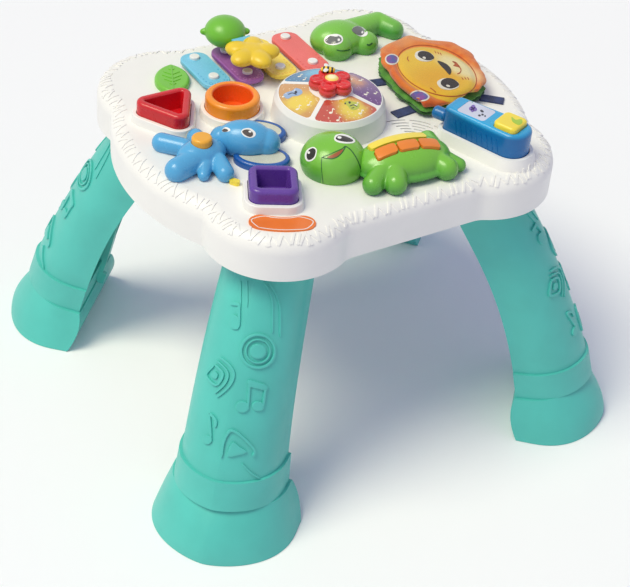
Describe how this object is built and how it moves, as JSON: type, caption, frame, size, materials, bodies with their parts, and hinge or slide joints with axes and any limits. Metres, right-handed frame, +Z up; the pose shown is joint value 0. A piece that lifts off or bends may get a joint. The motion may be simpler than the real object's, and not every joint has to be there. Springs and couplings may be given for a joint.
{
  "type": "activity play table",
  "caption": "Activity play table on splayed half-tube legs: lobed white top, shape cups, spinning flower on a light dome, chime bars, rocking striker, handset, keys and a cloth book.",
  "frame": {"origin": "on the floor under the middle of the table", "axes": "+Z up; -Y is the side with the turtle keys and the label plate; +X is the side with the cloth book and the handset"},
  "size_m": [0.5674, 0.5402, 0.389],
  "materials": {
    "white_shell": "satin moulded",
    "teal_leg": "satin moulded, raised relief",
    "tray_grey": "fine matt grain",
    "battery_cell": "printed sleeve",
    "screw_steel": "bright zinc",
    "speaker_black": "paper cone and steel pan",
    "board_green": "lacquered board",
    "cup_red": "satin moulded",
    "cup_orange": "satin moulded, printed bowl",
    "cup_purple": "satin moulded, printed bowl",
    "pad_rubber": "soft return pad",
    "lens_blue": "translucent, printed",
    "lens_amber": "translucent, printed",
    "lens_red": "translucent, printed",
    "lens_purple": "translucent, printed",
    "flower_red": "satin moulded",
    "soft_yellow": "satin moulded",
    "bee_trim": "painted trim",
    "bar_blue": "satin moulded, printed edge",
    "bar_purple": "satin moulded, printed edge",
    "bar_yellow": "satin moulded, printed edge",
    "bar_coral": "satin moulded, printed edge",
    "peg_white": "satin moulded",
    "star_yellow": "satin moulded",
    "ball_green": "satin moulded",
    "phone_blue": "two moulded colours",
    "screen_print": "printed label",
    "turtle_green": "satin moulded, painted face",
    "key_orange": "satin moulded",
    "inchworm_green": "satin moulded, painted face",
    "animal_blue": "satin moulded, painted face",
    "ear_navy": "satin moulded",
    "ear_print": "printed check",
    "belly_amber": "satin moulded",
    "leaf_green": "satin moulded",
    "label_orange": "plain printed plate",
    "cloth_back": "woven",
    "cloth_page": "woven, padded",
    "cloth_cover": "woven, padded, printed",
    "strap_navy": "woven tape"
  },
  "bodies": {
    "table": {"table_top": "white_shell", "base_tray": "tray_grey", "battery_door": "tray_grey", "batteries": "battery_cell", "tray_screws": "screw_steel", "speaker_driver": "speaker_black", "circuit_board": "board_green", "leg_front_left": "teal_leg", "leg_front_right": "teal_leg", "leg_back_left": "teal_leg", "leg_back_right": "teal_leg", "return_pad_red": "pad_rubber", "return_pad_orange": "pad_rubber", "return_pad_purple": "pad_rubber", "dome_ring": "white_shell", "dome_lens_blue": "lens_blue", "dome_lens_amber": "lens_amber", "dome_lens_red": "lens_red", "dome_lens_purple": "lens_purple", "lamp_board": "board_green", "chime_bar_blue": "bar_blue", "chime_bar_purple": "bar_purple", "chime_bar_yellow": "bar_yellow", "chime_bar_red": "bar_coral", "chime_pegs": "peg_white", "striker_post": "peg_white", "turtle_head": "turtle_green", "turtle_chin": "turtle_green", "turtle_body": "turtle_green", "turtle_legs": "turtle_green", "inchworm_body": "inchworm_green", "animal_head": "animal_blue", "animal_body": "animal_blue", "animal_ears": "ear_navy", "ear_panels": "ear_print", "leaf": "leaf_green", "vine_stems": "soft_yellow", "label_plate": "label_orange", "book_back": "cloth_back", "book_straps": "strap_navy"},
    "cup_red": {"cup_red": "cup_red"},
    "cup_orange": {"cup_orange": "cup_orange"},
    "cup_purple": {"cup_purple": "cup_purple"},
    "flower": {"flower_petals": "flower_red", "flower_centre": "soft_yellow", "flower_shaft": "screw_steel", "bee": "bee_trim"},
    "striker": {"striker_lever": "peg_white", "striker_star": "star_yellow", "striker_ball": "ball_green"},
    "belly_button": {"belly_button": "belly_amber"},
    "key_yellow": {"turtle_key_yellow": "soft_yellow"},
    "key_orange_a": {"turtle_key_orange_a": "key_orange"},
    "key_orange_b": {"turtle_key_orange_b": "key_orange"},
    "key_orange_c": {"turtle_key_orange_c": "key_orange"},
    "handset": {"phone_body": "phone_blue", "phone_screen": "screen_print"},
    "dial_key": {"phone_key": "soft_yellow"},
    "book_page": {"book_page": "cloth_page"},
    "book_cover": {"book_cover": "cloth_cover"}
  },
  "joints": [
    {"name": "press_cup_red", "type": "slide", "parent": "table", "child": "cup_red", "axis": [0, 0, -1], "range_m": [0, 0.004], "stiffness_N_per_m": 200, "springref_m": -0.003, "deforming": ["return_pad_red"]},
    {"name": "press_cup_orange", "type": "slide", "parent": "table", "child": "cup_orange", "axis": [0, 0, -1], "range_m": [0, 0.004], "stiffness_N_per_m": 200, "springref_m": -0.003, "deforming": ["return_pad_orange"]},
    {"name": "press_cup_purple", "type": "slide", "parent": "table", "child": "cup_purple", "axis": [0, 0, -1], "range_m": [0, 0.004], "stiffness_N_per_m": 200, "springref_m": -0.003, "deforming": ["return_pad_purple"]},
    {"name": "spin_flower", "type": "hinge", "parent": "table", "child": "flower", "pos_m": [-0.001, -0.012, 0.3736], "axis": [0, 0, 1], "continuous": true},
    {"name": "rock_striker", "type": "hinge", "parent": "table", "child": "striker", "pos_m": [-0.04, 0.118, 0.368], "axis": [1, 0, 0], "range_deg": [-8, 10], "stiffness_Nm_per_rad": 0.5},
    {"name": "press_belly_button", "type": "slide", "parent": "table", "child": "belly_button", "axis": [0, 0, -1], "range_m": [0, 0.003], "stiffness_N_per_m": 150, "springref_m": -0.002},
    {"name": "press_key_yellow", "type": "slide", "parent": "table", "child": "key_yellow", "axis": [0, 0, -1], "range_m": [0, 0.003], "stiffness_N_per_m": 150, "springref_m": -0.002},
    {"name": "press_key_orange_a", "type": "slide", "parent": "table", "child": "key_orange_a", "axis": [0, 0, -1], "range_m": [0, 0.003], "stiffness_N_per_m": 150, "springref_m": -0.002},
    {"name": "press_key_orange_b", "type": "slide", "parent": "table", "child": "key_orange_b", "axis": [0, 0, -1], "range_m": [0, 0.003], "stiffness_N_per_m": 150, "springref_m": -0.002},
    {"name": "press_key_orange_c", "type": "slide", "parent": "table", "child": "key_orange_c", "axis": [0, 0, -1], "range_m": [0, 0.003], "stiffness_N_per_m": 150, "springref_m": -0.002},
    {"name": "lift_handset", "type": "slide", "parent": "table", "child": "handset", "axis": [0, 0, 1], "range_m": [0, 0.06]},
    {"name": "press_dial_key", "type": "slide", "parent": "handset", "child": "dial_key", "axis": [0, 0, -1], "range_m": [0, 0.003], "stiffness_N_per_m": 150, "springref_m": -0.002},
    {"name": "turn_page", "type": "hinge", "parent": "table", "child": "book_page", "pos_m": [0.077, 0, 0.3425], "axis": [0, -1, 0], "range_deg": [0, 40]},
    {"name": "open_cover", "type": "hinge", "parent": "book_page", "child": "book_cover", "pos_m": [0.077, 0, 0.3482], "axis": [0, -1, 0], "range_deg": [0, 48]}
  ]
}
